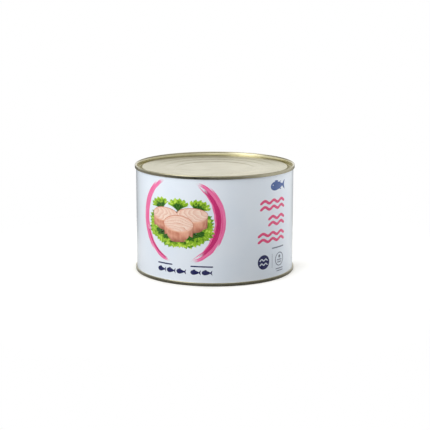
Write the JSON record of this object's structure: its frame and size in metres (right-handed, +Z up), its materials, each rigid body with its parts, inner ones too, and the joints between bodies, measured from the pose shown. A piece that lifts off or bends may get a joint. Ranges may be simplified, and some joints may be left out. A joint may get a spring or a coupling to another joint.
{
  "type": "tuna can",
  "caption": "Shut catering can of tuna: straight white printed tinplate wall with double-seamed, ring-pressed ends in pale gold lacquer.",
  "frame": {"origin": "middle of the flat ring on the bottom seam that the can stands on", "axes": "+Z up along the can's axis, -Y out of the front of the print, +X to the right of the print as seen from the front"},
  "size_m": [0.157, 0.157, 0.1048],
  "materials": {
    "printed_wall": "smooth glossy varnish over white printed tinplate",
    "lacquered_tinplate": "satin pale gold lacquer over rolled tinplate"
  },
  "bodies": {
    "root": {"can_body": "printed_wall", "top_end": "lacquered_tinplate", "bottom_end": "lacquered_tinplate"}
  },
  "joints": []
}
